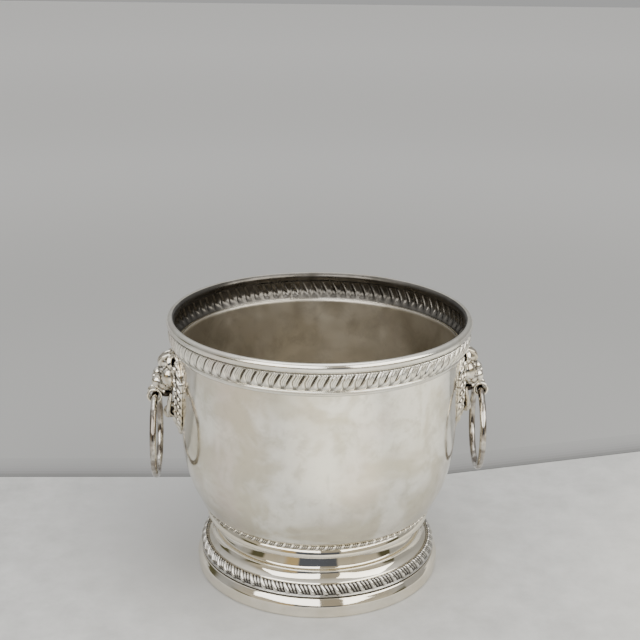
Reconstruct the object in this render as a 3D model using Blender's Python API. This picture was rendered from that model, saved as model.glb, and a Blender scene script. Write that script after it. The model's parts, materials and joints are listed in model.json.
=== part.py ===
"""A footed champagne bucket of silver plate, with a lion mask and a loose ring on each side.

Metres, +Z up. The origin is the centre of the foot's resting ring, and the handles lie on the X axis.
Every round piece is turned about Z from an outline of (radius, height) points.
"""
import math

import bmesh
import bpy
from mathutils import Vector

SEGMENTS = 64                 # flats round every turned piece, all in step
GAP = 0.0003                  # room left between pieces that touch
SHEET = 0.0012                # thickness of the spun sheet
STAMPED = 0.0009              # thickness of the stamped rim border
WELD = 1e-6                   # corners closer than this are one corner
SHARP_ANGLE = 35              # degrees; an edge that turns more stays crisp
MITRE_LIMIT = 0.5             # keeps the corners of an offset outline from running out to spikes

# Bowl: a cylinder that flares a little above an elliptical lower part with a flat bottom
BOWL_TOP_Z = 0.1475
BOWL_BASE_Z = 0.041
BOWL_TOP_RADIUS = 0.0862
BELLY_Z = 0.094               # where the straight side turns into the curved part
BELLY_RADIUS = 0.0852
CURVE_WIDTH = 0.0242          # half-axes of the ellipse
CURVE_HEIGHT = 0.0535
BOWL_LEVELS = [BOWL_BASE_Z, 0.0422, 0.0446, 0.0485, 0.054, 0.062, 0.074, BELLY_Z, 0.122, BOWL_TOP_Z]

# Rim border. An ARC is its first and last angle in degrees, and its number of points.
LIP_ARC = (215, -45, 6)
LIP_RADIUS = 0.00275
LIP_CENTRE = (0.0900, 0.1622)
GADROON_TOP = (0.0909, 0.1589)
GADROON_CREST = (0.0914, 0.1546)
GADROON_FOOT = (0.0892, 0.1486)
RIM_FILLET = (0.0889, 0.1466)
RIM_BAND_FOOT = (0.0876, 0.1447)

# Rope ring in the angle between the bowl and the foot
ROPE_ARC = (0, 300, 6)
ROPE_CENTRE = (0.0706, 0.0427)
ROPE_RADIUS = 0.0015

# Foot
TOP_FLANGE_BORE = 0.054
TOP_FLANGE_EDGE = 0.065
TOP_FLANGE_Z = BOWL_BASE_Z - GAP
BEAD_ARC = (120, -60, 4)
BEAD_CENTRE = (0.0681, 0.0393)
BEAD_RADIUS = 0.0022
COVE = [(0.0640, 0.0362), (0.0617, 0.0337), (0.0608, 0.0303), (0.0611, 0.0274), (0.0624, 0.0257),
        (0.0640, 0.0251)]
FLARE = [(0.0653, 0.0251), (0.0658, 0.0240), (0.0671, 0.0216), (0.0695, 0.0193)]
SHOULDER = [(0.0698, 0.0176), (0.0727, 0.0116)]
FOOT_CREST = [(0.0700, 0.0195), (0.0716, 0.0194), (0.0731, 0.0179), (0.0738, 0.0158), (0.0742, 0.0134),
              (0.0739, 0.0123)]
BORDER_SEAT = (0.0003, 0.0004)  # how far the underside of the border stands off the shoulder
SKIRT = [(0.0700, 0.0107), (0.0731, 0.0107), (0.0746, 0.0116), (0.0759, 0.0100), (0.0765, 0.0068),
         (0.0763, 0.0015), (0.0757, 0.0), (0.0715, 0.0)]

# Ring handles and the lugs that they swing in
HINGE_X = 0.101
HINGE_Z = 0.1145
RING_RADIUS = 0.026           # to the middle of the rod
ROD_RADIUS = 0.0021
ROD_LIFT = 0.0002             # centres the curved rod in the straight bore
RING_SEGMENTS = 40
ROD_SIDES = 8
LUG_RADIUS = 0.0046
LUG_BORE = 0.0031
LUG_LENGTH = 0.0096
LUG_SIDES = 24
LUG_SEAT_X = 0.0957           # flat back of the lug, against the lion's mouth
LUG_SEAT_HALF_ANGLE = 40

# Lion mask: height, half width, swell of the mane and height of the ridge from brow to beard
MASK_SECTIONS = [
    (0.1418, 0.0050, 0.0025, 0.0010),
    (0.1400, 0.0090, 0.0050, 0.0035),
    (0.1360, 0.0140, 0.0065, 0.0038),
    (0.1305, 0.0175, 0.0070, 0.0040),
    (0.1280, 0.0183, 0.0070, 0.0066),
    (0.1245, 0.0190, 0.0070, 0.0084),
    (0.1202, 0.0190, 0.0070, 0.0078),
    (0.1186, 0.0190, 0.0062, 0.0024),
    (0.1140, 0.0185, 0.0058, 0.0020),
    (0.1080, 0.0175, 0.0060, 0.0018),
    (0.1020, 0.0150, 0.0055, 0.0020),
    (0.0980, 0.0120, 0.0042, 0.0015),
    (0.0940, 0.0080, 0.0025, 0.0010),
    (0.0890, 0.0030, 0.0010, 0.0005),
]
MASK_EDGE = 0.0012            # thickness of the mask's edge
MASK_COLUMNS = 12
RIDGE_WIDTH = 0.0052


def material(name, colour, roughness):
    """A metal with one colour and roughness."""
    made = bpy.data.materials.new(name)
    made.use_nodes = True
    shader = made.node_tree.nodes["Principled BSDF"]
    shader.inputs["Base Color"].default_value = (*colour, 1.0)
    shader.inputs["Metallic"].default_value = 1.0
    shader.inputs["Roughness"].default_value = roughness
    return made


def add(name, mesh, made):
    """Put a mesh in the scene as one smooth-shaded piece."""
    piece = bpy.data.objects.new(name, mesh)
    bpy.context.scene.collection.objects.link(piece)
    mesh.materials.append(made)
    mesh.shade_smooth()
    mesh.set_sharp_from_angle(angle=math.radians(SHARP_ANGLE))
    return piece


def finish_mesh(name, work):
    """Weld the working mesh, face it outwards and store it."""
    bmesh.ops.remove_doubles(work, verts=work.verts, dist=WELD)
    bmesh.ops.recalc_face_normals(work, faces=work.faces)
    mesh = bpy.data.meshes.new(name)
    work.to_mesh(mesh)
    work.free()
    return mesh


def arc(centre, radius, first, last, count):
    """Points on an arc, from one angle to the other in degrees, as (radius, height) pairs."""
    angles = [math.radians(first + (last - first) * step / (count - 1)) for step in range(count)]
    return [(centre[0] + radius * math.cos(a), centre[1] + radius * math.sin(a)) for a in angles]


def offset_path(path, distance):
    """The path moved sideways by a distance, to the left of its direction."""
    moved = []
    for index, point in enumerate(path):
        sides = []
        for before, after in ((index - 1, index), (index, index + 1)):
            if before >= 0 and after < len(path):
                run = Vector(path[after]) - Vector(path[before])
                sides.append(Vector((-run.y, run.x)).normalized())
        normal = sum(sides, Vector((0, 0))).normalized()
        stretch = distance / max(normal.dot(sides[0]), MITRE_LIMIT)
        moved.append((point[0] + normal.x * stretch, point[1] + normal.y * stretch))
    return moved


def sheet(path, thickness):
    """Closed outline of a sheet that follows the path, with its thickness to the left of it."""
    return path + offset_path(path, thickness)[::-1]


def turned(name, outline, made, on_axis=False):
    """Turn an outline about Z. An outline on the axis starts and ends there, any other is a loop."""
    work = bmesh.new()
    corners = [work.verts.new((radius, 0, height)) for radius, height in outline]
    pairs = list(zip(corners, corners[1:]))
    if not on_axis:
        pairs.append((corners[-1], corners[0]))
    edges = [work.edges.new(pair) for pair in pairs]
    bmesh.ops.spin(work, geom=corners + edges, cent=(0, 0, 0), axis=(0, 0, 1), angle=2 * math.pi,
                   steps=SEGMENTS, use_merge=True)
    return add(name, finish_mesh(name, work), made)


def bowl_radius(height):
    """Outer radius of the bowl at a height."""
    if height >= BELLY_Z:
        rise = (height - BELLY_Z) / (BOWL_TOP_Z - BELLY_Z)
        return BELLY_RADIUS + (BOWL_TOP_RADIUS - BELLY_RADIUS) * rise ** 2
    drop = (BELLY_Z - height) / CURVE_HEIGHT
    return BELLY_RADIUS - CURVE_WIDTH + CURVE_WIDTH * math.sqrt(1 - drop ** 2)


def make_bowl():
    path = [(0.0, BOWL_BASE_Z)] + [(bowl_radius(height), height) for height in BOWL_LEVELS]
    outline = sheet(path, SHEET)
    outline[-1] = (0.0, BOWL_BASE_Z + SHEET)
    turned("bowl", outline, material("bowl_silver", (0.80, 0.78, 0.72), 0.32), on_axis=True)


def make_rim_border():
    lip = arc(LIP_CENTRE, LIP_RADIUS, *LIP_ARC)
    path = lip + [GADROON_TOP, GADROON_CREST, GADROON_FOOT, RIM_FILLET, RIM_BAND_FOOT]
    outline = sheet(path, -STAMPED)
    turned("rim_border", outline, material("rim_silver", (0.82, 0.80, 0.74), 0.25))


def make_neck_rope():
    outline = arc(ROPE_CENTRE, ROPE_RADIUS, *ROPE_ARC)
    turned("neck_rope", outline, material("rope_silver", (0.78, 0.75, 0.66), 0.22))


def make_foot():
    bead = arc(BEAD_CENTRE, BEAD_RADIUS, *BEAD_ARC)
    top = [(TOP_FLANGE_BORE, TOP_FLANGE_Z), (TOP_FLANGE_EDGE, TOP_FLANGE_Z)]
    path = top + bead + COVE + FLARE + SHOULDER
    turned("foot_pedestal", sheet(path, -SHEET), material("foot_silver", (0.82, 0.79, 0.70), 0.12))
    under = [(radius + BORDER_SEAT[0], height + BORDER_SEAT[1]) for radius, height in SHOULDER][::-1]
    turned("foot_border", FOOT_CREST + under, material("foot_border_silver", (0.80, 0.78, 0.72), 0.15))
    turned("foot_skirt", sheet(SKIRT, -SHEET), material("skirt_silver", (0.82, 0.80, 0.72), 0.14))


def mask_point(side, across, section, outer):
    """A point of the mask: across runs from -1 to 1 over its width, on its face or on its back."""
    height, half_width, swell, ridge = section
    y = across * half_width
    radius = bowl_radius(height) + GAP
    if outer:
        radius += MASK_EDGE + swell * math.sqrt(1 - across ** 2) + ridge * math.exp(-(y / RIDGE_WIDTH) ** 2)
    return side * math.sqrt(radius ** 2 - y ** 2), y, height


def make_mask(name, side, made):
    """Loft the mask through its sections, with a face that stands out and a back on the bowl's wall."""
    work = bmesh.new()
    steps = [-math.cos(math.pi * column / MASK_COLUMNS) for column in range(MASK_COLUMNS + 1)]
    loops = []
    for section in MASK_SECTIONS:
        face = [work.verts.new(mask_point(side, across, section, True)) for across in steps]
        back = [work.verts.new(mask_point(side, across, section, False)) for across in steps]
        loops.append(face + back[::-1])
    for upper, lower in zip(loops, loops[1:]):
        for corner in range(len(upper)):
            following = (corner + 1) % len(upper)
            work.faces.new((upper[corner], upper[following], lower[following], lower[corner]))
    for end in (loops[0], loops[-1]):
        for column in range(MASK_COLUMNS):
            opposite = len(end) - 1 - column
            work.faces.new((end[column], end[column + 1], end[opposite - 1], end[opposite]))
    bmesh.ops.triangulate(work, faces=work.faces)
    return add(name, finish_mesh(name, work), made)


def make_lug(name, side, made):
    """A tube across the lion's mouth, open at both ends, with a flat seat at its back."""
    work = bmesh.new()
    rings = []
    for y in (-LUG_LENGTH / 2, LUG_LENGTH / 2):
        outer = []
        bore = []
        for step in range(LUG_SIDES):
            turn = 2 * math.pi * step / LUG_SIDES
            out = Vector((math.cos(turn), math.sin(turn)))
            bore.append(work.verts.new((side * LUG_BORE * out.x, y, LUG_BORE * out.y)))
            x = LUG_RADIUS * out.x
            if abs(math.degrees(turn) - 180) < LUG_SEAT_HALF_ANGLE:
                x = LUG_SEAT_X - HINGE_X
            outer.append(work.verts.new((side * x, y, LUG_RADIUS * out.y)))
        rings.append((outer, bore))
    (near_outer, near_bore), (far_outer, far_bore) = rings
    for first, second in ((near_outer, far_outer), (near_bore, far_bore), (near_outer, near_bore),
                          (far_outer, far_bore)):
        for step in range(LUG_SIDES):
            following = (step + 1) % LUG_SIDES
            work.faces.new((first[step], first[following], second[following], second[step]))
    lug = add(name, finish_mesh(name, work), made)
    lug.location = (side * HINGE_X, 0, HINGE_Z)
    return lug


def make_ring(name, side, made):
    """A ring of round rod in the YZ plane. Its origin is on the lug's axis, at the top of the ring."""
    work = bmesh.new()
    loops = []
    for step in range(RING_SEGMENTS):
        turn = 2 * math.pi * step / RING_SEGMENTS
        out = Vector((0, math.sin(turn), math.cos(turn)))
        middle = out * RING_RADIUS + Vector((0, 0, ROD_LIFT - RING_RADIUS))
        loop = []
        for corner in range(ROD_SIDES):
            lean = 2 * math.pi * (corner + 0.5) / ROD_SIDES
            offset = out * math.cos(lean) + Vector((math.sin(lean), 0, 0))
            loop.append(work.verts.new(middle + ROD_RADIUS * offset))
        loops.append(loop)
    for step in range(RING_SEGMENTS):
        first = loops[step]
        second = loops[(step + 1) % RING_SEGMENTS]
        for corner in range(ROD_SIDES):
            following = (corner + 1) % ROD_SIDES
            work.faces.new((first[corner], first[following], second[following], second[corner]))
    ring = add(name, finish_mesh(name, work), made)
    ring.location = (side * HINGE_X, 0, HINGE_Z)
    return ring


for old in list(bpy.data.objects):
    bpy.data.objects.remove(old, do_unlink=True)

make_bowl()
make_rim_border()
make_neck_rope()
make_foot()
for side, word in ((-1, "left"), (1, "right")):
    make_mask(f"lion_mask_{word}", side, material(f"mask_silver_{word}", (0.82, 0.78, 0.68), 0.2))
    make_lug(f"ring_lug_{word}", side, material(f"lug_silver_{word}", (0.80, 0.76, 0.68), 0.18))
    make_ring(f"ring_handle_{word}", side, material(f"ring_silver_{word}", (0.74, 0.68, 0.62), 0.15))
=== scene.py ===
"""Looks of the silver champagne bucket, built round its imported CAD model.

Lengths are in millimetres and are scaled to metres when a mesh is stored, except for the floor, the lights
and the camera, which are in metres. Round pieces are turned about Z from an outline of (radius, height)
points, with relief pushed in and out of it.
"""

import json
import math

import bmesh
import bpy
import numpy as np
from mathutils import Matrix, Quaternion, Vector, noise

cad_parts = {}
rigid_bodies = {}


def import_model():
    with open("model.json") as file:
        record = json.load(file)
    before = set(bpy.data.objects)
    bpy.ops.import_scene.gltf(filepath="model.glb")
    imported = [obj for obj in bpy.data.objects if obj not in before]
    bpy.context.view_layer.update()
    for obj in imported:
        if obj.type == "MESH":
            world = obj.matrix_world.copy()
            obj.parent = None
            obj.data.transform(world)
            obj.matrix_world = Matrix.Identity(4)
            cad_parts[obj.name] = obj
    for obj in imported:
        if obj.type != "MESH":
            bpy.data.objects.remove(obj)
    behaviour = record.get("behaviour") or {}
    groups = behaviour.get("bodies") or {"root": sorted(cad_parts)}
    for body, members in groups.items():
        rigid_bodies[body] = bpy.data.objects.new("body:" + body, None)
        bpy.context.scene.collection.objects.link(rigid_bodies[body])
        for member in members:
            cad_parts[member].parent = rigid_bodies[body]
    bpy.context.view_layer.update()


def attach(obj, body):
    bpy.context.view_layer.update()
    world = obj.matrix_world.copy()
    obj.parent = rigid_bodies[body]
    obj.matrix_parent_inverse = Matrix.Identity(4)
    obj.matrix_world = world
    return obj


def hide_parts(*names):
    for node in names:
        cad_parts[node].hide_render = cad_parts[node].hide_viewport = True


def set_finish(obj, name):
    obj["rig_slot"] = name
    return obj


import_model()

MM = 0.001

# Bowl, as in the CAD model
BOWL_TOP_Z = 147.5
BOWL_BASE_Z = 41.0
BOWL_TOP_RADIUS = 86.2
BELLY_Z = 94.0
BELLY_RADIUS = 85.2
CURVE_WIDTH = 24.2
CURVE_HEIGHT = 53.5
SHEET = 1.2
# a faint swell of the bowl just above the rope
SWELL = 1.2
SWELL_Z = 46.6
SWELL_HALF_HEIGHT = 2.4

# Counts of lobes round the ornament, and of mesh columns in each lobe
RIM_LOBES = 84
RIM_LOBE_COLUMNS = 25
ROPE_LOBES = 90
ROPE_LOBE_COLUMNS = 22
FOOT_LOBES = 61
FOOT_LOBE_COLUMNS = 24

# Handles
HINGE_X = 101.0
HINGE_Z = 114.5
RING_RADIUS = 26.0
ROD_RADIUS = 2.1
# the ring's middle line passes this far above the hinge's axis
ROD_LIFT = 0.2


# ---------------------------------------------------------------- mesh helpers

def store(name, points, faces, body, nodes, slot, material, attributes=None):
    """Make a smooth-shaded piece from points in millimetres, and say what it stands for."""
    mesh = bpy.data.meshes.new(name)
    mesh.from_pydata((np.asarray(points) * MM).tolist(), [], faces)
    mesh.validate()
    mesh.shade_smooth()
    for key, values in (attributes or {}).items():
        layer = mesh.attributes.new(key, "FLOAT", "POINT")
        layer.data.foreach_set("value", np.asarray(values, np.float32))
    piece = bpy.data.objects.new(name, mesh)
    bpy.context.scene.collection.objects.link(piece)
    mesh.materials.append(material)
    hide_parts(*nodes)
    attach(piece, body)
    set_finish(piece, slot)
    return piece


def smooth_path(points, step):
    """Catmull-Rom curve through the points, sampled about every step."""
    p = np.asarray(points, float)
    ends = np.vstack([2 * p[0] - p[1], p, 2 * p[-1] - p[-2]])
    out = [p[0]]
    for i in range(len(p) - 1):
        a, b, c, d = ends[i], ends[i + 1], ends[i + 2], ends[i + 3]
        count = max(1, int(round(np.linalg.norm(c - b) / step)))
        for k in range(1, count + 1):
            t = k / count
            out.append(0.5 * ((2 * b) + (c - a) * t + (2 * a - 5 * b + 4 * c - d) * t * t
                              + (3 * b - a - 3 * c + d) * t ** 3))
    return np.array(out)


def arc(centre, radius, first, last, count):
    """Points on an arc from one angle to the other, in degrees."""
    a = np.radians(np.linspace(first, last, count))
    return np.stack([centre[0] + radius * np.cos(a), centre[1] + radius * np.sin(a)], 1)


def joined(*runs):
    """Runs of outline points put end to end, without doubled points."""
    out = []
    for run in runs:
        for point in run:
            if not out or np.linalg.norm(np.asarray(point) - out[-1]) > 1e-4:
                out.append(np.asarray(point, float))
    return np.array(out)


def path_normals(path):
    """Unit normals to the left of the path's direction."""
    run = np.gradient(path, axis=0)
    run = run / np.maximum(np.linalg.norm(run, axis=1, keepdims=True), 1e-9)
    return np.stack([-run[:, 1], run[:, 0]], 1)


def offset(path, distance):
    """The path moved to its left."""
    return path + path_normals(path) * distance


def grid_faces(rows, columns, close_rows):
    """Quads of a grid whose columns wrap round, and whose rows wrap too if asked."""
    faces = []
    for r in range(rows if close_rows else rows - 1):
        a = r * columns
        b = ((r + 1) % rows) * columns
        for c in range(columns):
            d = (c + 1) % columns
            faces.append((a + c, a + d, b + d, b + c))
    return faces


def turned(path, columns, closed=True, push=None):
    """Points and quads of a path turned about Z.

    push(theta, row) gives a radial and a vertical shift for each column of the row.
    """
    theta = 2 * np.pi * np.arange(columns) / columns
    cos, sin = np.cos(theta), np.sin(theta)
    points = np.empty((len(path), columns, 3))
    for row, (radius, height) in enumerate(path):
        out, up = (0.0, 0.0) if push is None else push(theta, row)
        points[row, :, 0] = (radius + out) * cos
        points[row, :, 1] = (radius + out) * sin
        points[row, :, 2] = height + up
    return points.reshape(-1, 3), grid_faces(len(path), columns, closed)


def step_up(x, low, high):
    """Smooth step from 0 at low to 1 at high."""
    t = np.clip((x - low) / (high - low), 0, 1)
    return t * t * (3 - 2 * t)


# ---------------------------------------------------------------- materials

# scales of the noise are per metre, and the depth of the scratches is in metres
SCRATCH_SCALE = 900.0
SCRATCH_DEPTH = 0.000004
DENT_SCALE = 55.0


def silver(name, colour, tarnish, rough, cloud, amount, dent=0.0, grime_and_shade=None, warm=None):
    """Silver plate with clouded tarnish, uneven polish, fine scratches, and dark tarnish and painted shade
    in its hollows.

    rough is the least and the greatest roughness. cloud is the scale of the clouds of tarnish, and amount
    is their strength. dent is the depth of shallow dents in metres, and warm the colour of broad blushes.
    The colour of the dark tarnish and painted shade in the hollows comes with the values of the relief
    attribute at which it is full and gone.
    """
    made = bpy.data.materials.new(name)
    made.use_nodes = True
    nodes, links = made.node_tree.nodes, made.node_tree.links
    shader = nodes["Principled BSDF"]
    shader.inputs["Metallic"].default_value = 1.0

    place = nodes.new("ShaderNodeTexCoord").outputs["Object"]

    def field(scale, detail, rough_detail=0.55, distort=0.0, stretch=None):
        source = place
        if stretch:
            mapping = nodes.new("ShaderNodeMapping")
            mapping.inputs["Scale"].default_value = stretch
            links.new(place, mapping.inputs["Vector"])
            source = mapping.outputs["Vector"]
        texture = nodes.new("ShaderNodeTexNoise")
        texture.inputs["Scale"].default_value = scale
        texture.inputs["Detail"].default_value = detail
        texture.inputs["Roughness"].default_value = rough_detail
        texture.inputs["Distortion"].default_value = distort
        links.new(source, texture.inputs["Vector"])
        return texture.outputs["Fac"]

    def spread(value, low, high, to_low=0.0, to_high=1.0):
        rng = nodes.new("ShaderNodeMapRange")
        rng.interpolation_type = "SMOOTHSTEP"
        rng.inputs["From Min"].default_value = low
        rng.inputs["From Max"].default_value = high
        rng.inputs["To Min"].default_value = to_low
        rng.inputs["To Max"].default_value = to_high
        links.new(value, rng.inputs["Value"])
        return rng.outputs["Result"]

    def mixed(factor, a, b):
        mix = nodes.new("ShaderNodeMix")
        mix.data_type = "RGBA"
        links.new(factor, mix.inputs[0])
        for value, socket in ((a, mix.inputs[6]), (b, mix.inputs[7])):
            if isinstance(value, tuple):
                socket.default_value = (*value, 1.0)
            else:
                links.new(value, socket)
        return mix.outputs[2]

    broad = field(cloud, 3.0, 0.6, 0.6)
    fine = field(cloud * 3.6, 6.0, 0.68, 0.3)
    paint = mixed(spread(broad, 0.40, 0.62, 0.0, amount), colour, tarnish)
    paint = mixed(spread(fine, 0.44, 0.70, 0.0, amount * 0.6), paint, tuple(c * 0.84 for c in tarnish))
    if warm:
        blush = field(cloud * 0.8, 2.0, 0.5, 0.2, (1.0, 1.3, 0.8))
        paint = mixed(spread(blush, 0.50, 0.74, 0.0, 0.55), paint, warm)
    # dark tarnish and painted shade where the relief attribute is low, in the hollows
    if grime_and_shade:
        relief = nodes.new("ShaderNodeAttribute")
        relief.attribute_name = "relief"
        paint = mixed(spread(relief.outputs["Fac"], grime_and_shade[1], grime_and_shade[2], 1.0, 0.0), paint, grime_and_shade[0])
    links.new(paint, shader.inputs["Base Color"])

    polish = field(cloud * 2.1, 4.0, 0.6)
    links.new(spread(polish, 0.3, 0.75, rough[0], rough[1]), shader.inputs["Roughness"])

    bump = nodes.new("ShaderNodeBump")
    bump.inputs["Strength"].default_value = 0.5
    bump.inputs["Distance"].default_value = SCRATCH_DEPTH
    links.new(field(SCRATCH_SCALE, 2.0, 0.5), bump.inputs["Height"])
    if dent:
        hollow = nodes.new("ShaderNodeBump")
        hollow.inputs["Strength"].default_value = 1.0
        hollow.inputs["Distance"].default_value = dent
        links.new(field(DENT_SCALE, 2.0, 0.45), hollow.inputs["Height"])
        links.new(hollow.outputs["Normal"], bump.inputs["Normal"])
    links.new(bump.outputs["Normal"], shader.inputs["Normal"])
    return made


SILVER = (0.95, 0.925, 0.835)
WARM_SILVER = (0.93, 0.88, 0.77)
TARNISH = (0.72, 0.67, 0.54)
ROSE = (0.80, 0.70, 0.63)
# dark tarnish and painted shade in the hollows of the rim and the rope
GRIME_AND_SHADE = (0.07, 0.06, 0.05)
INSIDE = (0.60, 0.56, 0.48)
INSIDE_DARK = (0.46, 0.42, 0.35)
# the rim's inside: dark tarnish and painted shade
RIM_INSIDE_TARNISH_AND_SHADE = (0.15, 0.14, 0.125)
RIM_INSIDE_DARK_TARNISH_AND_SHADE = (0.08, 0.074, 0.064)
FOOT_TARNISH = (0.84, 0.76, 0.58)
SKIRT_TARNISH = (0.84, 0.76, 0.60)
BORDER_SILVER = (0.90, 0.88, 0.83)
# dark tarnish and painted shade between the foot's lobes
BORDER_GRIME_AND_SHADE = (0.06, 0.055, 0.05)
MASK_SILVER = (0.90, 0.87, 0.79)
MASK_TARNISH = (0.64, 0.56, 0.42)
# dark tarnish and painted shade in the masks' hollows
MASK_GRIME_AND_SHADE = (0.06, 0.05, 0.04)
RING_SILVER = (0.66, 0.63, 0.57)
RING_TARNISH = (0.28, 0.245, 0.21)

bowl_silver = silver("bowl_silver_look", SILVER, TARNISH, rough=(0.09, 0.19), cloud=26.0, amount=1.0,
                     dent=0.0002, warm=ROSE)
inner_silver = silver("bowl_inside_look", INSIDE, INSIDE_DARK, rough=(0.30, 0.45), cloud=18.0, amount=0.9)
rim_silver = silver("rim_silver_look", SILVER, TARNISH, rough=(0.12, 0.20), cloud=30.0, amount=0.5,
                    warm=ROSE, grime_and_shade=(GRIME_AND_SHADE, -0.1, 0.62))
# dark tarnish and painted shade on the rim's inside and the inner side of its lip
rim_inside_tarnish_and_shade = silver("rim_inside_tarnish_and_shade_look", RIM_INSIDE_TARNISH_AND_SHADE, RIM_INSIDE_DARK_TARNISH_AND_SHADE, rough=(0.24, 0.38), cloud=30.0,
                    amount=0.8)
rope_silver = silver("rope_silver_look", WARM_SILVER, TARNISH, rough=(0.05, 0.12), cloud=30.0, amount=0.5,
                     grime_and_shade=(GRIME_AND_SHADE, 0.25, 0.95))
foot_silver = silver("foot_silver_look", WARM_SILVER, FOOT_TARNISH, rough=(0.03, 0.07), cloud=26.0,
                     amount=0.5, dent=0.00012)
border_silver = silver("foot_border_look", BORDER_SILVER, TARNISH, rough=(0.03, 0.07), cloud=30.0,
                       amount=0.3, grime_and_shade=(BORDER_GRIME_AND_SHADE, 0.15, 1.1))
skirt_silver = silver("skirt_silver_look", WARM_SILVER, SKIRT_TARNISH, rough=(0.04, 0.09), cloud=26.0,
                      amount=0.5, dent=0.00012)
mask_silver = silver("mask_silver_look", MASK_SILVER, MASK_TARNISH, rough=(0.04, 0.10), cloud=90.0,
                     amount=0.8, grime_and_shade=(MASK_GRIME_AND_SHADE, 0.24, 0.70))
lug_silver = silver("lug_silver_look", WARM_SILVER, TARNISH, rough=(0.05, 0.10), cloud=60.0, amount=0.4)
ring_silver = silver("ring_silver_look", RING_SILVER, RING_TARNISH, rough=(0.03, 0.08), cloud=80.0,
                     amount=1.0, dent=0.0004)


# ---------------------------------------------------------------- bowl

def bowl_radius(z):
    """Outer radius of the bowl at a height."""
    z = np.asarray(z, float)
    rise = (z - BELLY_Z) / (BOWL_TOP_Z - BELLY_Z)
    drop = np.clip((BELLY_Z - z) / CURVE_HEIGHT, 0, 0.999)
    low = BELLY_RADIUS - CURVE_WIDTH + CURVE_WIDTH * np.sqrt(1 - drop ** 2)
    low = low + SWELL * np.exp(-((z - SWELL_Z) / SWELL_HALF_HEIGHT) ** 2)
    return np.where(z >= BELLY_Z, BELLY_RADIUS + (BOWL_TOP_RADIUS - BELLY_RADIUS) * rise ** 2, low)


def make_bowl():
    """The spun body, closed at the bottom, with a slightly uneven wall."""
    columns = 256
    bend_z = 60.0
    bevel = 0.3
    # rows lie closer together in the tight bend at the bottom
    low_z = BOWL_BASE_Z + (bend_z - BOWL_BASE_Z) * np.linspace(0, 1, 30) ** 1.7
    wall_z = np.concatenate([low_z[:-1], np.linspace(bend_z, BOWL_TOP_Z - bevel, 46)])
    wall = np.stack([bowl_radius(wall_z), wall_z], 1)
    floor_r = np.array([0.6, 6, 14, 24, 36, 48, 57, 62])
    under = np.stack([floor_r, np.full(len(floor_r), BOWL_BASE_Z)], 1)
    floor_z = BOWL_BASE_Z + SHEET
    inner = offset(wall, SHEET)
    inner = inner[inner[:, 1] > floor_z + 0.5]
    inner[-1, 1] = BOWL_TOP_Z - bevel
    edge = np.array([[BOWL_TOP_RADIUS - bevel, BOWL_TOP_Z], [BOWL_TOP_RADIUS - SHEET + bevel, BOWL_TOP_Z]])
    first = inner[0]
    corner = smooth_path([first, (first[0] - 2.2, floor_z + 0.25), (first[0] - 5, floor_z)], 0.8)
    over = np.stack([floor_r[::-1][2:], np.full(len(floor_r) - 2, floor_z)], 1)
    path = joined(under, wall, edge, inner[::-1], corner, over)
    points, faces = turned(path, columns, closed=False)

    # the wall is a little uneven, but not where it meets the foot and the rim
    for i, p in enumerate(points):
        out = Vector((p[0], p[1], 0))
        if out.length > 60 and 50 < p[2] < BOWL_TOP_Z - 1:
            sway = noise.noise(Vector(p) / 34.0) * 0.10
            sway += noise.noise(Vector(p) / 13.0 + Vector((7, 3, 1))) * 0.018
            hold = float(step_up(p[2], 50, 58) * (1 - step_up(p[2], 138, 146)))
            points[i] += np.array(out.normalized()) * sway * hold

    # fans close the underside and the floor
    rows = len(path)
    for centre, row in ((BOWL_BASE_Z, 0), (floor_z, rows - 1)):
        points = np.vstack([points, [[0, 0, centre]]])
        pole = len(points) - 1
        for c in range(columns):
            here, after = row * columns + c, row * columns + (c + 1) % columns
            faces.append((pole, after, here) if row == 0 else (pole, here, after))
    piece = store("bowl_body", points, faces, "bucket", ["bowl"], "bowl_silver", bowl_silver)
    piece.data.materials.append(inner_silver)
    outer_rows = len(under) + len(wall)
    below_edge = (BOWL_TOP_Z - 0.05) * MM
    inside = [min(f.vertices) // columns >= outer_rows - 1 and f.center.z < below_edge
              for f in piece.data.polygons]
    piece.data.polygons.foreach_set("material_index", np.array(inside, np.int32))


# ---------------------------------------------------------------- rim

def rim_relief(lobe, s):
    """Height of the stamped lobes: lobe counts lobes round the rim, and s runs down the band from 0 to 1.

    Each repeat has a deep slit, a comma-shaped lobe with a round foot, and three thin reeds.
    """
    u = (lobe - 0.70 * (1 - s) ** 1.4) % 1.0
    foot = step_up(s, 0.40, 0.88)
    begin = 0.17 - 0.10 * foot
    end = 0.42 + 0.30 * foot
    t = np.clip((u - begin) / (end - begin), 0, 1)
    comma = (0.85 + 0.30 * foot) * np.clip(4 * t * (1 - t), 0, 1) ** 0.6
    comma = comma * np.sqrt(np.clip(1 - np.clip((s - 0.70) / 0.29, 0, 1) ** 2, 0, 1))
    first = end + 0.03
    t2 = np.clip((u - first) / (1 - first), 0, 1)
    reeds = 0.78 * np.abs(np.sin(3 * np.pi * t2)) ** 0.7 * (1 - step_up(s, 0.66, 0.92))
    slit = np.clip(1 - np.abs(u - 0.08) / 0.08, 0, 1) ** 0.8
    slit = slit * step_up(s, 0.06, 0.20) * (1 - step_up(s, 0.45, 0.78))
    height = np.where(u < begin, 0.10 + 0.12 * foot - 0.55 * slit, np.where(u < first, comma, reeds))
    top = step_up(s, 0.0, 0.05)
    return height * top + 0.5 * (1 - step_up(s, 0.02, 0.10)) * top


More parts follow.
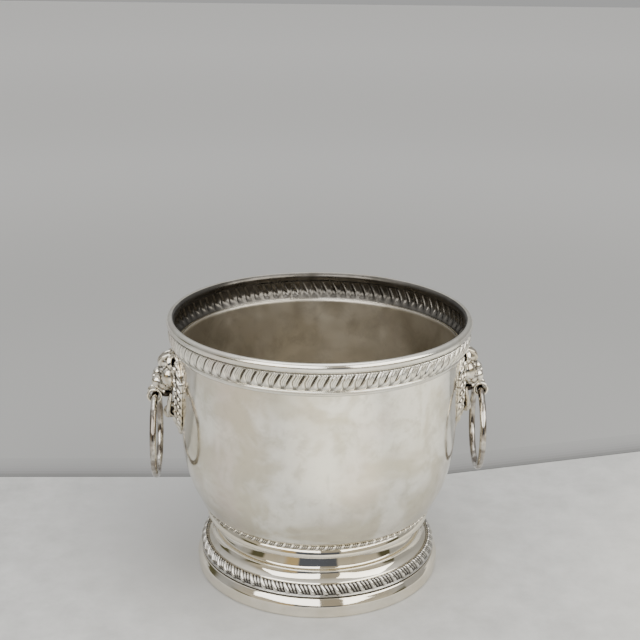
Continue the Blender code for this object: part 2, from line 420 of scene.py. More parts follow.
def make_rim():
    """The border round the mouth: rolled lip, lobed band, fillet and lap, with the lobes reversed inside."""
    columns = RIM_LOBES * RIM_LOBE_COLUMNS
    lip = arc((0.0, 0.0), 1.0, 215, -64, 17) * np.array([2.5, 2.95]) + np.array([90.2, 162.0])
    groove = smooth_path([lip[-1], (91.0, 158.95), (90.6, 158.75)], 0.4)
    band = smooth_path([(90.6, 158.75), (90.85, 157.2), (90.9, 154.6), (90.3, 151.4), (88.95, 148.6)], 0.44)
    fillet = smooth_path([band[-1], (88.75, 148.3), (89.25, 147.9), (89.3, 147.2), (88.75, 146.7)], 0.4)
    lap = smooth_path([fillet[-1], (88.0, 146.35), (87.75, 145.4), (87.45, 144.75), (87.0, 144.6)], 0.6)
    inner_foot = [(86.75, 144.7), (86.75, 147.4)]
    inner_low, inner_high = 148.6, 159.2
    inner_band = smooth_path([(87.6, inner_low), (89.25, 151.5), (89.85, 154.6), (89.75, 157.6),
                              (89.2, inner_high)], 0.9)
    inner_lip = smooth_path([inner_band[-1], (88.6, 159.7), (88.2, 160.0), lip[0]], 0.6)
    # the path is a loop, so the point that ends it is the lip's first one again
    path = joined(lip, groove, band, fillet, lap, inner_foot, inner_band, inner_lip)[:-1]

    # the row at which each run starts: most runs share their first point with the run before
    starts = {}
    at = 0
    for name, run in (("lip", lip), ("groove", groove), ("band", band), ("fillet", fillet), ("lap", lap),
                      ("foot", inner_foot), ("inner", inner_band), ("inner_lip", inner_lip)):
        starts[name] = at
        at += len(run) - (0 if name in ("lip", "foot", "inner") else 1)
    # how far down the band each lobed row lies, from 0 to 1
    marks = {}
    for row in range(starts["band"] - 1, starts["fillet"]):
        marks[row] = (row - starts["band"] + 1) / (starts["fillet"] - starts["band"])
    inner_rows = range(starts["inner"], starts["inner_lip"])
    for row in inner_rows:
        marks[row] = 1 - (path[row][1] - inner_low) / (inner_high - inner_low)
    # low relief lets in the dark tarnish and painted shade between the lobes
    relief = np.full((len(path), columns), 0.8)

    def push(theta, row):
        if row not in marks:
            return 0.0, 0.0
        rise = rim_relief(theta * RIM_LOBES / (2 * np.pi), np.full(columns, marks[row]))
        if row in inner_rows:
            soft = (np.roll(rise, 1) + rise + np.roll(rise, -1)) / 3
            relief[row] = 0.35 + 0.5 * (0.6 - soft)
            return 0.85 * soft, 0.0
        relief[row] = np.clip(rise + 0.15 * float(step_up(marks[row], 0.75, 0.95)), 0, 1)
        return 1.1 * rise, 0.0

    points, faces = turned(path, columns, push=push)
    piece = store("rim_border_relief", points, faces, "bucket", ["rim_border"], "rim_silver", rim_silver,
                  {"relief": relief.reshape(-1)})
    piece.data.materials.append(rim_inside_tarnish_and_shade)
    # the inside is dark, with dark tarnish and painted shade, and so is the inner side of the lip, up to
    # near its top
    dark_lip_rows = 6
    index = np.zeros(len(faces), np.int32)
    index[:dark_lip_rows * columns] = 1
    index[(starts["inner"] - 1) * columns:] = 1
    piece.data.polygons.foreach_set("material_index", index)


# ---------------------------------------------------------------- rope

def make_rope():
    """The small rope in the angle under the bowl: a bead and two reeds in each repeat."""
    columns = ROPE_LOBES * ROPE_LOBE_COLUMNS
    rows = 20
    centre = (70.3, 43.3)
    tube = 1.45
    path = arc(centre, tube, 0, 360 - 360 / rows, rows)
    # low relief lets in the dark tarnish and painted shade between the beads and reeds
    relief = np.zeros((rows, columns))
    shift = np.linspace(0, 2 * np.pi, rows, endpoint=False)

    def push(theta, row):
        lean = shift[row] if shift[row] < np.pi else shift[row] - 2 * np.pi
        u = (theta * ROPE_LOBES / (2 * np.pi) - 0.13 * lean) % 1.0
        bead = np.clip(4 * (u / 0.5) * (1 - u / 0.5), 0, 1) ** 0.5
        reed = 0.72 * np.abs(np.sin(2 * np.pi * (u - 0.5) / 0.5)) ** 0.6
        rise = np.where(u < 0.5, bead, reed)
        relief[row] = rise
        grow = 0.95 * (rise - 0.85)
        return grow * math.cos(shift[row]), grow * math.sin(shift[row])

    points, faces = turned(path, columns, push=push)
    store("neck_rope_beads", points, faces, "bucket", ["neck_rope"], "rope_silver", rope_silver,
          {"relief": relief.reshape(-1)})


# ---------------------------------------------------------------- foot

def make_pedestal():
    """The spun foot: top flange, round bead, cove, thin ridge, and the seat of the border."""
    columns = 288
    bead = smooth_path([(66.0, 41.9), (67.4, 41.75), (68.3, 41.4), (68.9, 40.9), (69.25, 40.4),
                        (69.55, 39.8), (69.8, 39.2), (70.0, 38.6), (70.12, 38.1), (70.2, 37.4),
                        (70.2, 36.8), (70.05, 36.3), (69.6, 36.0), (68.7, 35.95)], 0.25)
    cove = smooth_path([bead[-1], (67.0, 35.95), (65.0, 35.8), (63.3, 35.4), (62.0, 34.7), (61.2, 33.8),
                        (60.9, 32.8), (60.83, 32.0), (60.9, 31.2), (61.17, 30.2), (61.47, 29.2),
                        (61.81, 28.2), (62.19, 27.2), (62.53, 26.4), (62.77, 25.9), (63.05, 25.5),
                        (63.35, 25.25), (63.7, 25.1)], 0.3)
    ridge = smooth_path([cove[-1], (64.2, 25.25), (64.9, 25.35), (65.4, 25.05), (65.5, 24.6)], 0.25)
    flare = smooth_path([ridge[-1], (65.9, 23.6), (66.9, 21.7), (68.2, 20.3), (69.5, 19.2)], 0.45)
    seat = smooth_path([flare[-1], (69.8, 17.9), (71.2, 14.8), (72.6, 11.9)], 1.0)
    top = np.array([[54.0, 40.7], [58.0, 40.7], [63.0, 40.8], [64.8, 41.4]])
    outer = joined(top, bead, cove, ridge, flare, seat)
    inner = np.array([[54.0, 39.5], [58.0, 39.5], [62.5, 39.3], [66.4, 38.8], [66.6, 37.6], [64.0, 37.0],
                      [61.4, 36.2], [59.9, 34.4], [59.6, 31.7], [59.9, 29.2], [60.6, 26.4], [61.8, 24.5],
                      [64.0, 23.8], [65.0, 22.2], [66.6, 20.2], [68.5, 18.3], [70.1, 14.6], [71.5, 11.6]])
    path = joined(outer, smooth_path(inner, 0.9)[::-1])
    points, faces = turned(path, columns)
    store("foot_pedestal_cove", points, faces, "bucket", ["foot_pedestal"], "foot_silver", foot_silver)


def foot_relief(lobe, s):
    """Height of the bold lobes on the foot, with two fine reeds between them.

    lobe counts lobes round the foot, and s runs outwards from 0 to 1.
    """
    u = (lobe - 0.42 * s) % 1.0
    width = 0.37 + 0.10 * step_up(s, 0.3, 0.8)
    t = np.clip(u / width, 0, 1)
    main = 1.40 * np.clip(4 * t * (1 - t), 0, 1) ** 0.75
    t2 = np.clip((u - width) / (1 - width), 0, 1)
    reeds = 1.05 * np.abs(np.sin(2 * np.pi * t2)) ** 0.9 * (1 - 0.4 * step_up(s, 0.6, 0.95))
    height = np.where(u < width, main, reeds)
    end = np.sqrt(np.clip(1 - np.clip((s - 0.82) / 0.18, 0, 1) ** 2, 0, 1))
    top = step_up(s, 0.0, 0.25)
    return height * end * top


def make_foot_border():
    """The ring of bold lobes on the foot, with a thin fillet below it."""
    columns = FOOT_LOBES * FOOT_LOBE_COLUMNS
    crest = smooth_path([(69.8, 18.9), (70.5, 19.05), (71.5, 18.6), (72.5, 17.3), (73.1, 15.6),
                         (73.35, 13.9)], 0.24)
    band_rows = len(crest)
    fillet = smooth_path([crest[-1], (73.45, 13.6), (74.0, 13.35), (74.15, 12.8), (73.8, 12.4)], 0.25)
    under = np.array([[73.0, 12.3], [71.7, 14.9], [70.4, 17.6]])
    path = joined(crest, fillet, under)
    normals = path_normals(path)
    # low relief lets in the dark tarnish and painted shade between the lobes; the top rows are kept light
    relief = np.full((len(path), columns), 0.8)

    def push(theta, row):
        if row >= band_rows:
            return 0.0, 0.0
        s = row / (band_rows - 1)
        rise = foot_relief(theta * FOOT_LOBES / (2 * np.pi), np.full(columns, s))
        relief[row] = np.clip(rise / 1.4 + 0.6 * (s < 0.12), 0, 1)
        grow = 0.95 * rise
        return grow * normals[row][0], grow * normals[row][1]

    points, faces = turned(path, columns, push=push)
    store("foot_border_relief", points, faces, "bucket", ["foot_border"], "foot_border_silver",
          border_silver, {"relief": relief.reshape(-1)})


def make_skirt():
    """The plain base band: a small roll, a bevel, an upright side and a turned-in resting edge."""
    columns = 288
    side = smooth_path([(73.2, 10.9), (73.7, 11.65), (74.15, 11.75), (74.65, 11.15), (75.2, 10.15),
                        (75.8, 9.05), (76.35, 7.95), (76.6, 7.2), (76.65, 6.2), (76.6, 3.6),
                        (76.45, 1.5), (76.2, 0.6)], 0.35)
    bottom = smooth_path([(76.1, 0.6), (75.9, 0.1), (75.4, 0.0)], 0.3)
    outer = joined([(70.0, 10.9), (73.2, 10.9)], side, bottom, [(73.4, 0.0), (71.5, 0.0)])
    inner = [(71.5, 1.2), (74.6, 1.3), (75.0, 3.0), (75.3, 6.4), (75.0, 8.8), (74.3, 9.7), (70.0, 9.7)]
    points, faces = turned(joined(outer, inner), columns)
    store("foot_skirt_band", points, faces, "bucket", ["foot_skirt"], "skirt_silver", skirt_silver)


# ---------------------------------------------------------------- handles

def frames_along(line):
    """Two steady cross directions at each point of a line."""
    line = np.asarray(line, float)
    run = np.gradient(line, axis=0)
    run /= np.linalg.norm(run, axis=1, keepdims=True)
    side = np.cross(run[0], (1.0, 0.0, 0.0))
    if np.linalg.norm(side) < 0.2:
        side = np.cross(run[0], (0.0, 0.0, 1.0))
    sides = []
    for tangent in run:
        side = side - tangent * side.dot(tangent)
        side /= np.linalg.norm(side)
        sides.append(side.copy())
    sides = np.array(sides)
    return sides, np.cross(run, sides)


class Clay:
    """Lumps of metal in millimetres, later merged to one skin."""

    def __init__(self):
        self.points = []
        self.faces = []

    def add(self, points, faces):
        start = len(self.points)
        self.points.extend(np.asarray(points).tolist())
        self.faces.extend([tuple(i + start for i in face) for face in faces])

    def ball(self, centre, radii, turn=0.0, rows=14, columns=20):
        """An ellipsoid, turned about the outward axis by an angle in degrees."""
        points = []
        for r in range(1, rows):
            lat = math.pi * r / rows
            for c in range(columns):
                lon = 2 * math.pi * c / columns
                points.append((math.sin(lat) * math.cos(lon), math.sin(lat) * math.sin(lon), math.cos(lat)))
        points.append((0, 0, 1))
        points.append((0, 0, -1))
        p = np.array(points) * np.array(radii)
        a = math.radians(turn)
        y = p[:, 1] * math.cos(a) - p[:, 2] * math.sin(a)
        z = p[:, 1] * math.sin(a) + p[:, 2] * math.cos(a)
        p = np.stack([p[:, 0], y, z], 1) + np.array(centre)
        faces = grid_faces(rows - 1, columns, False)
        last = (rows - 2) * columns
        top, bottom = len(points) - 2, len(points) - 1
        for c in range(columns):
            d = (c + 1) % columns
            faces.append((top, d, c))
            faces.append((bottom, last + c, last + d))
        self.add(p, faces)

    def lock(self, line, radii, ridges=5, depth=0.16, flat=0.8):
        """A lock of hair: a tapered strand with ridges along it, following the line."""
        line = smooth_path(line, 0.8)
        count = len(line)
        ends = np.interp(np.linspace(0, 1, count), np.linspace(0, 1, len(radii)), radii)
        sides, ups = frames_along(line)
        columns = 22
        lon = 2 * np.pi * np.arange(columns) / columns
        wave = 1 - depth * (0.5 + 0.5 * np.cos(ridges * lon))
        points = []
        for k in range(count):
            wide = np.outer(np.cos(lon) * wave, sides[k])
            high = np.outer(np.sin(lon) * wave * flat, ups[k])
            points.extend(line[k] + (wide + high) * ends[k])
        faces = grid_faces(count, columns, False)
        points.append(line[0])
        points.append(line[-1])
        for c in range(columns):
            d = (c + 1) % columns
            faces.append((len(points) - 2, d, c))
            faces.append((len(points) - 1, (count - 1) * columns + c, (count - 1) * columns + d))
        self.add(points, faces)


def wall(z, rise):
    """Distance from the bucket's axis of a point that stands above the bowl's wall."""
    return float(bowl_radius(z)) + rise


def on_wall(rise, y, z):
    """A point that stands above the bowl's wall by the rise, at a sideways distance and a height."""
    return math.sqrt(wall(z, rise) ** 2 - y * y), y, z


def sculpt_lion():
    """A lion's head in high relief. Axes: outwards from the bucket's axis, sideways, up."""
    clay = Clay()
    # backing that follows the wall, as overlapping pads
    for z, half in ((138.5, 6.5), (134.5, 11.0), (130, 14.0), (125, 15.5), (120, 15.7), (115, 15.0),
                    (110, 13.6), (105, 11.2), (100, 8.2), (95.5, 4.8), (91.8, 2.2)):
        count = max(1, round(half / 3.0))
        for k in range(-count, count + 1):
            clay.ball(on_wall(0.0, half * k / count, z), (2.4, 3.0, 4.0), rows=8, columns=12)
    # forelock: a polished egg over the brow
    clay.ball(on_wall(8.2, 0, 135.6), (4.8, 5.0, 4.9), rows=20, columns=28)
    clay.ball(on_wall(4.0, 0, 136.8), (4.6, 5.8, 4.6))
    for sign in (-1, 1):
        clay.lock([on_wall(8.6, sign * 1.3, 131.6), on_wall(11.0, sign * 2.1, 134.8),
                   on_wall(9.4, sign * 2.6, 138.4), on_wall(4.6, sign * 3.4, 141.0)],
                  (1.2, 2.5, 2.4, 1.2), ridges=4, depth=0.22)
        clay.lock([on_wall(2.6, sign * 4.6, 141.0), on_wall(5.2, sign * 6.6, 138.8),
                   on_wall(5.6, sign * 7.8, 135.6), on_wall(4.0, sign * 8.2, 132.4)],
                  (1.6, 2.6, 2.5, 1.4), ridges=4, depth=0.25)
        # brow, eye, cheekbone, ear and cheek
        clay.ball(on_wall(9.4, sign * 3.2, 131.2), (2.8, 3.2, 1.8), turn=sign * -14)
        clay.ball(on_wall(9.4, sign * 4.6, 128.4), (2.1, 2.0, 1.6))
        clay.ball(on_wall(6.2, sign * 6.6, 127.2), (4.8, 4.2, 6.4), rows=20, columns=28)
        clay.ball(on_wall(2.8, sign * 11.4, 133.4), (2.6, 2.4, 3.0), turn=sign * -35)
        clay.ball(on_wall(8.4, sign * 4.6, 122.4), (4.4, 3.8, 4.2))
        # muzzle pads, nostrils and upper lip
        clay.ball((98.6, sign * 2.5, 123.4), (4.0, 3.2, 4.2), turn=sign * 8, rows=20, columns=28)
        clay.ball((101.0, sign * 1.5, 127.0), (1.2, 1.3, 1.1))
        clay.lock([(99.6, sign * 2.0, 120.2), (97.2, sign * 5.2, 119.6), (94.6, sign * 7.4, 117.8)],
                  (1.3, 1.6, 1.2), ridges=0)
        # jaw, from the corner of the mouth down to the chin
        clay.lock([on_wall(5.6, sign * 8.2, 117.6), on_wall(6.6, sign * 8.0, 112.2),
                   on_wall(7.4, sign * 6.2, 106.6), on_wall(7.2, sign * 2.6, 102.4)],
                  (1.5, 1.8, 2.3, 2.6), ridges=0)
    # bridge of the nose, its tip, the lips and the chin
    clay.lock([(96.0, 0, 132.4), (97.6, 0, 130.6), (99.0, 0, 128.8), (100.0, 0, 127.2)],
              (2.0, 1.9, 2.2, 2.4), ridges=0)
    clay.ball((100.0, 0, 126.2), (2.6, 3.0, 2.1))
    clay.ball((97.6, 0, 128.0), (4.4, 3.4, 4.2))
    clay.ball((94.0, 0, 130.4), (4.0, 6.0, 4.6))
    clay.ball((98.8, 0, 121.4), (3.2, 2.2, 2.2))
    clay.ball((94.2, 0, 114.5), (3.6, 2.4, 2.2))
    clay.ball(on_wall(3.2, 0, 107.6), (3.4, 5.0, 3.0))
    clay.ball(on_wall(7.2, 0, 102.6), (3.9, 4.6, 4.0), rows=20, columns=28)
    # beard
    for y, low in ((0, 88.9), (-2.8, 94.2), (2.8, 94.2)):
        clay.lock([on_wall(3.6, y * 1.3, 101.0), on_wall(3.4, y * 1.3, 98.6),
                   on_wall(2.2, y, (98.6 + low) / 2), on_wall(0.6, y * 0.5, low)],
                  (2.2, 2.4, 1.8, 0.5), ridges=3, depth=0.25)
    # mane: outer and inner rows of low wavy locks on each side
    outer_row = (
        ((3.4, 139.0), (8.2, 140.8), (11.8, 138.0)), ((7.4, 137.0), (12.4, 137.2), (15.4, 133.2)),
        ((10.2, 133.4), (15.2, 132.4), (17.4, 127.6)), ((11.6, 129.2), (16.2, 127.2), (18.0, 122.0)),
        ((12.0, 124.4), (16.6, 121.6), (17.9, 116.2)), ((11.9, 119.4), (16.1, 116.0), (17.1, 110.6)),
        ((11.4, 114.2), (15.1, 110.6), (15.6, 105.0)), ((10.4, 109.0), (13.6, 105.4), (13.6, 100.0)),
        ((9.2, 104.4), (11.6, 100.6), (11.0, 95.6)), ((7.0, 100.8), (8.8, 97.0), (7.6, 92.6)))
    inner_row = (
        ((7.8, 133.6), (11.8, 131.6), (13.2, 126.6)), ((9.6, 129.4), (13.2, 126.8), (14.2, 121.4)),
        ((10.2, 124.6), (13.6, 121.4), (14.2, 115.8)), ((10.0, 119.6), (13.1, 116.0), (13.5, 110.6)),
        ((9.6, 114.4), (12.3, 110.8), (12.2, 105.4)), ((8.8, 109.6), (10.9, 106.0), (10.4, 100.8)),
        ((7.4, 105.2), (8.8, 101.8), (7.8, 97.0)))
    for row, rises, radii in ((outer_row, (1.0, 1.7, 0.3), (1.2, 2.2, 1.6, 0.6)),
                              (inner_row, (2.6, 3.4, 1.8), (1.2, 2.1, 1.5, 0.6))):
        for points in row:
            for sign in (-1, 1):
                clay.lock([on_wall(rise, sign * y, z) for rise, (y, z) in zip(rises, points)], radii,
                          ridges=3, depth=0.3)
    return clay


def merged(clay, voxel):
    """One skin round all the lumps, as points and faces."""
    mesh = bpy.data.meshes.new("clay")
    mesh.from_pydata(clay.points, [], clay.faces)
    lump = bpy.data.objects.new("clay", mesh)
    bpy.context.scene.collection.objects.link(lump)
    remesh = lump.modifiers.new("skin", "REMESH")
    remesh.mode = "VOXEL"
    remesh.voxel_size = voxel
    relax = lump.modifiers.new("relax", "SMOOTH")
    relax.factor = 0.5
    relax.iterations = 2
    skin = bpy.data.meshes.new_from_object(lump.evaluated_get(bpy.context.evaluated_depsgraph_get()))
    points = np.empty(len(skin.vertices) * 3)
    skin.vertices.foreach_get("co", points)
    faces = [tuple(f.vertices) for f in skin.polygons]
    edges = np.empty(len(skin.edges) * 2, np.int64)
    skin.edges.foreach_get("vertices", edges)
    normals = np.empty(len(skin.vertices) * 3)
    skin.vertices.foreach_get("normal", normals)
    bpy.data.objects.remove(lump)
    bpy.data.meshes.remove(mesh)
    bpy.data.meshes.remove(skin)
    return points.reshape(-1, 3), faces, edges.reshape(-1, 2), normals.reshape(-1, 3)


def hollowness(points, edges, normals, rounds, reach):
    """1 on ridges, 0 in hollows: how far each point stands out of the skin once it is smoothed."""
    soft = points.copy()
    degree = np.bincount(edges.ravel(), minlength=len(points)).astype(float)[:, None]
    for _ in range(rounds):
        total = np.zeros_like(soft)
        np.add.at(total, edges[:, 0], soft[edges[:, 1]])
        np.add.at(total, edges[:, 1], soft[edges[:, 0]])
        soft = total / np.maximum(degree, 1)
    out = np.einsum("ij,ij->i", points - soft, normals)
    return np.clip(0.5 + out / (2 * reach), 0, 1)


def make_masks():
    """The two lion masks: the left one is the right one mirrored."""
    points, faces, edges, normals = merged(sculpt_lion(), 0.42)
    # low relief lets in the dark tarnish and painted shade in the masks' hollows
    relief = hollowness(points, edges, normals, rounds=14, reach=0.55)
    radius = np.hypot(points[:, 0], points[:, 1])
    # painted shade: the open mouth is darkened
    mouth_shade = np.exp(-(((radius - 93.5) / 4.0) ** 4 + ((points[:, 2] - 115.5) / 4.6) ** 4
                     + (points[:, 1] / 7.0) ** 6))
    relief = relief * (1 - 0.85 * mouth_shade)
    # the back lies on the bowl's wall
    floor = bowl_radius(points[:, 2]) + 0.12
    low = radius < floor
    points[low, :2] *= (floor[low] / radius[low])[:, None]
    for side, word in ((-1, "left"), (1, "right")):
        placed = points.copy()
        placed[:, 0] *= side
        turned_faces = [f[::-1] for f in faces] if side < 0 else faces
        store(f"lion_head_{word}", placed, turned_faces, "bucket", [f"lion_mask_{word}"], "mask_silver",
              mask_silver, {"relief": relief})


def make_lugs():
    """Short tubes with rolled ends, held in the lions' mouths."""
    columns = 72
    half = 4.8
    roll = smooth_path([(3.35, half - 0.9), (3.3, half - 0.35), (3.7, half), (4.35, half + 0.05),
                        (4.75, half - 0.45), (4.6, half - 1.15), (4.0, half - 1.7), (3.75, half - 2.5),
                        (3.72, 0)], 0.3)
    mirrored = roll[::-1][1:] * np.array([1, -1])
    bore = np.array([[3.1, -half + 1.6], [3.1, 0], [3.1, half - 1.6]])
    path = joined(roll, mirrored, bore)
    theta = 2 * np.pi * np.arange(columns) / columns
    points = np.empty((len(path), columns, 3))
    for row, (radius, along) in enumerate(path):
        points[row, :, 0] = radius * np.cos(theta)
        points[row, :, 1] = along
        points[row, :, 2] = radius * np.sin(theta)
    points = points.reshape(-1, 3)
    faces = grid_faces(len(path), columns, True)
    for side, word in ((-1, "left"), (1, "right")):
        placed = points.copy()
        placed[:, 0] = side * (placed[:, 0] + HINGE_X)
        placed[:, 2] += HINGE_Z
        turned_faces = faces if side < 0 else [f[::-1] for f in faces]
        store(f"lug_tube_{word}", placed, turned_faces, "bucket", [f"ring_lug_{word}"], "lug_silver",
              lug_silver)


def make_rings():
    """Loose rings of round rod, a little uneven from wear, that hang a little twisted in their lugs."""
    steps, corners = 240, 28
    for side, word, seed, twist, sway in ((-1, "left", 3.0, -2.2, 0.4), (1, "right", 11.0, -4.5, 0.0)):
        points = []
        for step in range(steps):
            angle = 2 * math.pi * step / steps
            out = np.array([0, math.sin(angle), math.cos(angle)])
            middle = out * RING_RADIUS + np.array([0, 0, ROD_LIFT - RING_RADIUS])
            for corner in range(corners):
                lean = 2 * math.pi * corner / corners
                way = out * math.cos(lean) + np.array([math.sin(lean), 0, 0])
                bump = noise.noise(Vector(middle + way * ROD_RADIUS) / 3.2 + Vector((seed, 0, 0)))
                points.append(middle + way * (ROD_RADIUS - 0.03 + 0.05 * bump))
        points = np.array(points)
        cos, sin = math.cos(math.radians(twist)), math.sin(math.radians(twist))
        points = np.stack([points[:, 0] * cos - points[:, 1] * sin, points[:, 0] * sin + points[:, 1] * cos,
                           points[:, 2]], 1) + np.array([side * HINGE_X + sway, 0, HINGE_Z])
        store(f"ring_rod_{word}", points, grid_faces(steps, corners, True), f"{word}_ring",
              [f"ring_handle_{word}"], "ring_silver", ring_silver)


make_bowl()
make_rim()
make_rope()
make_pedestal()
make_foot_border()
make_skirt()
make_masks()
make_lugs()
make_rings()

# outward faces everywhere
for piece in [o for o in bpy.context.scene.objects if "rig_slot" in o]:
    work = bmesh.new()
    work.from_mesh(piece.data)
    bmesh.ops.recalc_face_normals(work, faces=work.faces)
    work.to_mesh(piece.data)
    work.free()


# ---------------------------------------------------------------- floor, light and camera

def stage_sheet(name, corners, z, material):
    """A flat sheet of the studio floor, in metres."""
    mesh = bpy.data.meshes.new(name)
    mesh.from_pydata([(x, y, z) for x, y in corners], [], [tuple(range(len(corners)))])
    sheet = bpy.data.objects.new(name, mesh)
    bpy.context.scene.collection.objects.link(sheet)
    mesh.materials.append(material)


def paper(name, colour, darker, light_and_shadow_pools=()):
    """Matt studio paper with a faint mottle between two colours.

    Each pool is a soft round patch of painted light where its colour is lighter than the paper and of
    painted shadow where it is darker, given by its centre and radius in metres and its colour.
    """
    made = bpy.data.materials.new(name)
    made.use_nodes = True
    nodes, links = made.node_tree.nodes, made.node_tree.links
    shader = nodes["Principled BSDF"]
    shader.inputs["Roughness"].default_value = 0.75
    place = nodes.new("ShaderNodeTexCoord").outputs["Object"]
    texture = nodes.new("ShaderNodeTexNoise")
    texture.inputs["Scale"].default_value = 40.0
    texture.inputs["Detail"].default_value = 9.0
    texture.inputs["Roughness"].default_value = 0.7
    links.new(place, texture.inputs["Vector"])
    mix = nodes.new("ShaderNodeMix")
    mix.data_type = "RGBA"
    mix.inputs[6].default_value = (*colour, 1)
    mix.inputs[7].default_value = (*darker, 1)
    links.new(texture.outputs["Fac"], mix.inputs[0])
    paint = mix.outputs[2]
    # each pool paints a soft patch of light and shade onto the paper
    for centre, radius, tint in light_and_shadow_pools:
        apart = nodes.new("ShaderNodeVectorMath")
        apart.operation = "DISTANCE"
        apart.inputs[1].default_value = (*centre, 0.0)
        links.new(place, apart.inputs[0])
        fade = nodes.new("ShaderNodeMapRange")
        fade.interpolation_type = "SMOOTHSTEP"
        fade.inputs["From Min"].default_value = radius * 0.35
        fade.inputs["From Max"].default_value = radius
        fade.inputs["To Min"].default_value = 1.0
        fade.inputs["To Max"].default_value = 0.0
        links.new(apart.outputs["Value"], fade.inputs["Value"])
        patch = nodes.new("ShaderNodeMix")
        patch.data_type = "RGBA"
        patch.inputs[7].default_value = (*tint, 1)
        links.new(fade.outputs["Result"], patch.inputs[0])
        links.new(paint, patch.inputs[6])
        paint = patch.outputs[2]
    links.new(paint, shader.inputs["Base Color"])
    return made


# the camera's place and aim, seen from the bucket before the heading turns them
HEADING = math.radians(-5.0)
CAMERA_PLACE = (0.0006, -0.6942, 0.3863)
CAMERA_YAW = 0.0006
PITCH = 0.315
ROLL = 0.011
LENS = 67.5

heading = Quaternion((0, 0, 1), HEADING)
ahead = heading @ Vector((0, 1, 0))
right = heading @ Vector((1, 0, 0))

# the pale floor ends behind the bucket in two straight edges that meet at a corner, with grey paper beyond
EDGE_BEHIND = 0.116
EDGE_SLANT_LEFT = 0.027
EDGE_SLANT_RIGHT = 0.283
EDGE_CORNER = 0.080
REACH = 6.0
# the sheets lie a hair below each other
SHEET_STEP = 0.0001
# painted shade: the grey paper darkens towards the floor's edge, strip by strip
GREY_TONE = 0.365
SHADE_STRIPS = 8
SHADE_DEPTH = 0.22
SHADE_FADE = 2.6
STRIP_WIDTH = 0.0045
STRIP_START = -0.003

# painted light and shadow on the pale floor: four pools of painted light in front of the bucket, and a
# painted shadow just behind it at the left
floor_light_and_shadow_pools = (((0.02, -0.48), 0.34, (0.80, 0.77, 0.70)), ((0.50, -0.12), 0.40, (0.84, 0.82, 0.75)),
               ((-0.42, -0.22), 0.28, (0.60, 0.57, 0.53)), ((0.08, -0.30), 0.20, (0.90, 0.88, 0.81)),
               ((-0.03, 0.05), 0.17, (0.46, 0.46, 0.455)))
# painted light: the grey paper is painted lighter far from the bucket, where the lamps light it less, and
# darker near it
grey_light_pools = (((0.0, 0.0), 3.6, (0.57, 0.57, 0.565)), ((0.0, 0.0), 1.5, (GREY_TONE, GREY_TONE, 0.36)))
pale = paper("pale_floor", (0.74, 0.74, 0.73), (0.35, 0.35, 0.34), floor_light_and_shadow_pools)
grey = paper("grey_beyond", (0.80, 0.80, 0.795), (0.76, 0.76, 0.755), grey_light_pools)
along_left = Quaternion((0, 0, 1), EDGE_SLANT_LEFT) @ right
along_right = Quaternion((0, 0, 1), EDGE_SLANT_RIGHT) @ right


def floor_edge(beyond):
    """The back edge of the pale floor, or a line some way beyond it: left end, corner and right end."""
    corner = ahead * (EDGE_BEHIND + beyond) + along_left * EDGE_CORNER
    return [(corner - along_left * REACH).xy, corner.xy, (corner + along_right * REACH).xy]


front = ahead * -REACH
front_corners = [(front + right * -REACH).xy, (front + right * REACH).xy]
stage_sheet("floor_pale", [*front_corners, *floor_edge(0)[::-1]], 0.0, pale)
for count in range(SHADE_STRIPS):
    tone = GREY_TONE - SHADE_DEPTH * math.exp(-count / SHADE_FADE)
    shade = paper(f"grey_shade_{count}", (tone, tone, tone * 0.99), (tone * 0.95, tone * 0.95, tone * 0.94))
    near = STRIP_START + STRIP_WIDTH * count
    strip = [*floor_edge(near), *floor_edge(near + STRIP_WIDTH)[::-1]]
    stage_sheet(f"floor_shade_{count}", strip, -SHEET_STEP, shade)
far = ahead * REACH
far_corners = [(far + right * REACH).xy, (far + right * -REACH).xy]
stage_sheet("floor_grey", [*front_corners, *far_corners], -2 * SHEET_STEP, grey)

world = bpy.data.worlds.new("studio")
bpy.context.scene.world = world
world.use_nodes = True
sky, wires = world.node_tree.nodes, world.node_tree.links
where = sky.new("ShaderNodeTexCoord").outputs["Generated"]


def sky_part(direction):
    """How far a sky direction points along a direction."""
    dot = sky.new("ShaderNodeVectorMath")
    dot.operation = "DOT_PRODUCT"
    dot.inputs[1].default_value = direction
    wires.new(where, dot.inputs[0])
    return dot.outputs["Value"]


def sky_step(value, low, high):
    """Smooth step of a value in the sky."""
    rng = sky.new("ShaderNodeMapRange")
    rng.interpolation_type = "SMOOTHSTEP"
    rng.inputs["From Min"].default_value = low
    rng.inputs["From Max"].default_value = high
    wires.new(value, rng.inputs["Value"])
    return rng.outputs["Result"]


def sky_times(*values):
    """Product of values in the sky."""
    out = values[0]
    for value in values[1:]:
        product = sky.new("ShaderNodeMath")
        product.operation = "MULTIPLY"
        wires.new(out, product.inputs[0])
        wires.new(value, product.inputs[1])
        out = product.outputs[0]
    return out


def sky_ramp(stops):
    """Colours of the sky by height: the first stop is the horizon, at 0, and the last straight up, at 1."""
    ramp = sky.new("ShaderNodeValToRGB")
    wires.new(height, ramp.inputs["Fac"])
    elements = ramp.color_ramp.elements
    elements[0].color = (*stops[0][1], 1)
    elements[1].color = (*stops[-1][1], 1)
    for position, colour in stops[1:-1]:
        elements.new(position).color = (*colour, 1)
    return ramp.outputs["Color"]


def sky_mix(factor, a, b):
    """Colour a where the factor is 0, and b where it is 1."""
    mix = sky.new("ShaderNodeMix")
    mix.data_type = "RGBA"
    wires.new(factor, mix.inputs[0])
    for value, socket in ((a, mix.inputs[6]), (b, mix.inputs[7])):
        if isinstance(value, tuple):
            socket.default_value = (*value, 1)
        else:
            wires.new(value, socket)
    return mix.outputs[2]


height = sky_part((0, 0, 1))
to_front = sky_part(tuple(-ahead))
to_right = sky_part(tuple(right))
to_left = sky_part(tuple(-right))
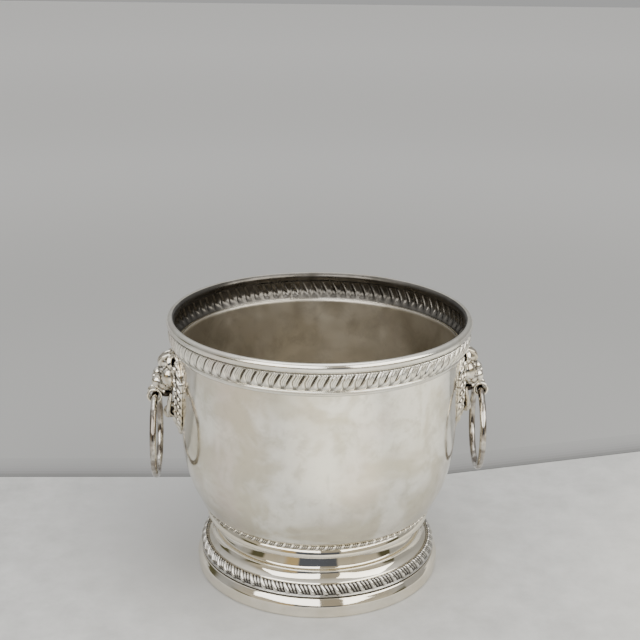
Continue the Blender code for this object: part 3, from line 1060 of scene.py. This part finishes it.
# grey walls all round, and the warmer room behind the camera
walls = sky_ramp(((0.0, (0.40, 0.40, 0.395)), (0.25, (0.40, 0.40, 0.395)), (0.5, (0.56, 0.56, 0.555)),
                  (0.8, (1.0, 1.0, 1.0)), (1.0, (1.0, 1.0, 1.0))))
room = sky_ramp(((0.0, (0.50, 0.45, 0.36)), (0.22, (0.58, 0.53, 0.44)), (0.36, (0.40, 0.36, 0.29)),
                 (0.75, (0.40, 0.37, 0.31)), (1.0, (0.90, 0.90, 0.90))))
look = sky_mix(sky_step(to_front, 0.10, 0.45), walls, room)
# behind the camera, low down: a tan patch at the left and the dark shape of a person in the middle
low = sky_step(height, 0.33, 0.28)
front_low = sky_times(low, sky_step(to_front, 0.4, 0.5))
tan = sky_times(front_low, sky_step(to_left, 0.30, 0.36), sky_step(to_left, 0.62, 0.50))
look = sky_mix(tan, look, (0.50, 0.38, 0.20))
person = sky_times(front_low, sky_step(to_left, 0.36, 0.31), sky_step(to_right, 0.40, 0.35))
look = sky_mix(person, look, (0.10, 0.11, 0.135))
# dark patches near the floor at both sides
near_floor = sky_step(height, 0.24, 0.14)
furniture = sky_times(near_floor, sky_step(to_left, 0.84, 0.88), sky_step(to_left, 0.99, 0.955))
look = sky_mix(furniture, look, (0.10, 0.095, 0.055))
doorway = sky_times(near_floor, sky_step(to_right, 0.92, 0.96), sky_step(to_front, 0.03, 0.08))
look = sky_mix(doorway, look, (0.09, 0.085, 0.05))
wires.new(look, sky["Background"].inputs["Color"])


def around(azimuth, distance, rise):
    """A place at an angle to the right of the line from the bucket to the camera, in degrees."""
    a = math.radians(azimuth)
    return -ahead * (distance * math.cos(a)) + right * (distance * math.sin(a)) + Vector((0, 0, rise))


def soft_light(name, place, aim, size, power, colour=(1, 1, 1)):
    """A soft rectangular light at a place, facing the aim."""
    lamp = bpy.data.lights.new(name, "AREA")
    lamp.shape = "RECTANGLE"
    lamp.size, lamp.size_y = size
    lamp.energy = power
    lamp.color = colour
    made = bpy.data.objects.new(name, lamp)
    bpy.context.scene.collection.objects.link(made)
    made.location = place
    made.rotation_mode = "QUATERNION"
    made.rotation_quaternion = (aim - place).to_track_quat("-Z", "Y")


# two upright softboxes with a gap between them, and a soft top light
soft_light("softbox_left", around(-27, 1.2, 1.1), Vector((0, 0, 1.1)), (1.40, 1.30), 20)
soft_light("softbox_right", around(55, 1.2, 1.1), Vector((0, 0, 1.1)), (1.45, 1.30), 22, (1.0, 0.985, 0.94))
soft_light("top_soft", around(180, 0.2, 1.9), Vector((0, 0, 0.1)), (1.6, 1.0), 10)

camera = bpy.data.objects.new("camera", bpy.data.cameras.new("camera"))
bpy.context.scene.collection.objects.link(camera)
camera.data.lens = LENS
camera.data.sensor_width = 36.0
camera.location = heading @ Vector(CAMERA_PLACE)
camera.rotation_mode = "QUATERNION"
yaw = Quaternion((0, 0, 1), HEADING + CAMERA_YAW)
tilt = Quaternion((1, 0, 0), math.pi / 2 - PITCH)
roll = Quaternion((0, 0, 1), ROLL)
camera.rotation_quaternion = yaw @ tilt @ roll
bpy.context.scene.camera = camera
